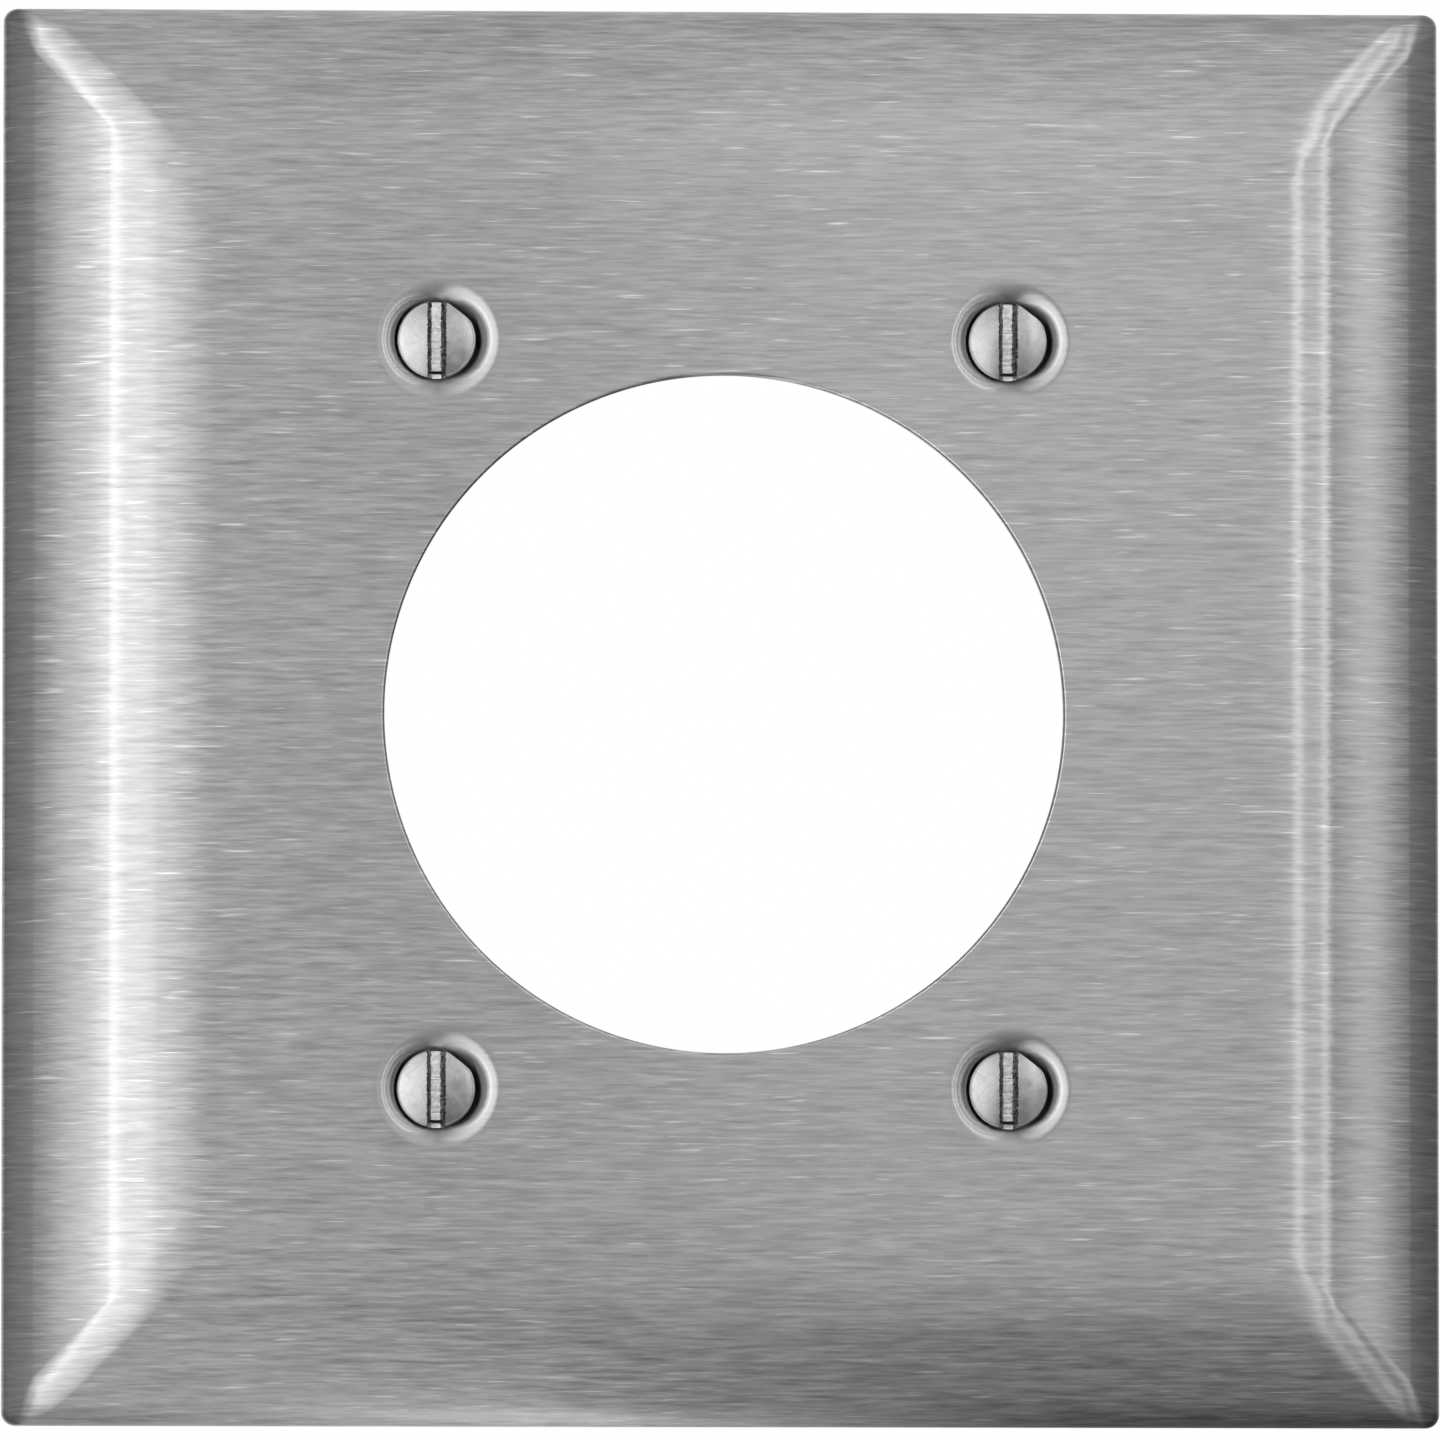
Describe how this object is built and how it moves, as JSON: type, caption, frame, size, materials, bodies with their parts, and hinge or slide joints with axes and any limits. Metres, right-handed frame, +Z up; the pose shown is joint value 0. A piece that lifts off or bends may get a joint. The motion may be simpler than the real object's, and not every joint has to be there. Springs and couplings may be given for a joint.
{
  "type": "wall plate",
  "caption": "Two-gang brushed stainless steel wall plate with a large round outlet hole, pressed bevelled border and captive slotted oval-head mounting screws.",
  "frame": {"origin": "centre of the plate's outline on the wall plane, where the rear rim touches the wall", "axes": "+X to the right seen from the front, +Z up the wall, +Y into the wall; the face looks along -Y"},
  "size_m": [0.1158, 0.0134, 0.1142],
  "materials": {
    "plate": "302 stainless steel sheet, straight horizontal brushed grain, satin",
    "screw": "cold-headed stainless steel, smooth with handling marks",
    "washer": "natural nylon, matt, slightly translucent"
  },
  "bodies": {
    "plate": {"plate": "plate"},
    "captive_washer_top_left": {"captive_washer_top_left": "washer"},
    "screw_top_left": {"screw_top_left": "screw"},
    "captive_washer_top_right": {"captive_washer_top_right": "washer"},
    "screw_top_right": {"screw_top_right": "screw"},
    "captive_washer_bottom_left": {"captive_washer_bottom_left": "washer"},
    "screw_bottom_left": {"screw_bottom_left": "screw"},
    "captive_washer_bottom_right": {"captive_washer_bottom_right": "washer"},
    "screw_bottom_right": {"screw_bottom_right": "screw"}
  },
  "joints": [
    {"name": "screw_push_top_left", "type": "slide", "parent": "plate", "child": "captive_washer_top_left", "axis": [0, -1, 0], "range_m": [0, 0.0015]},
    {"name": "screw_turn_top_left", "type": "hinge", "parent": "captive_washer_top_left", "child": "screw_top_left", "pos_m": [-0.02315, 0, 0.0301], "axis": [0, 1, 0], "continuous": true},
    {"name": "screw_push_top_right", "type": "slide", "parent": "plate", "child": "captive_washer_top_right", "axis": [0, -1, 0], "range_m": [0, 0.0015]},
    {"name": "screw_turn_top_right", "type": "hinge", "parent": "captive_washer_top_right", "child": "screw_top_right", "pos_m": [0.02287, 0, 0.0301], "axis": [0, 1, 0], "continuous": true},
    {"name": "screw_push_bottom_left", "type": "slide", "parent": "plate", "child": "captive_washer_bottom_left", "axis": [0, -1, 0], "range_m": [0, 0.0015]},
    {"name": "screw_turn_bottom_left", "type": "hinge", "parent": "captive_washer_bottom_left", "child": "screw_bottom_left", "pos_m": [-0.02315, 0, -0.03022], "axis": [0, 1, 0], "continuous": true},
    {"name": "screw_push_bottom_right", "type": "slide", "parent": "plate", "child": "captive_washer_bottom_right", "axis": [0, -1, 0], "range_m": [0, 0.0015]},
    {"name": "screw_turn_bottom_right", "type": "hinge", "parent": "captive_washer_bottom_right", "child": "screw_bottom_right", "pos_m": [0.02287, 0, -0.03022], "axis": [0, 1, 0], "continuous": true}
  ]
}
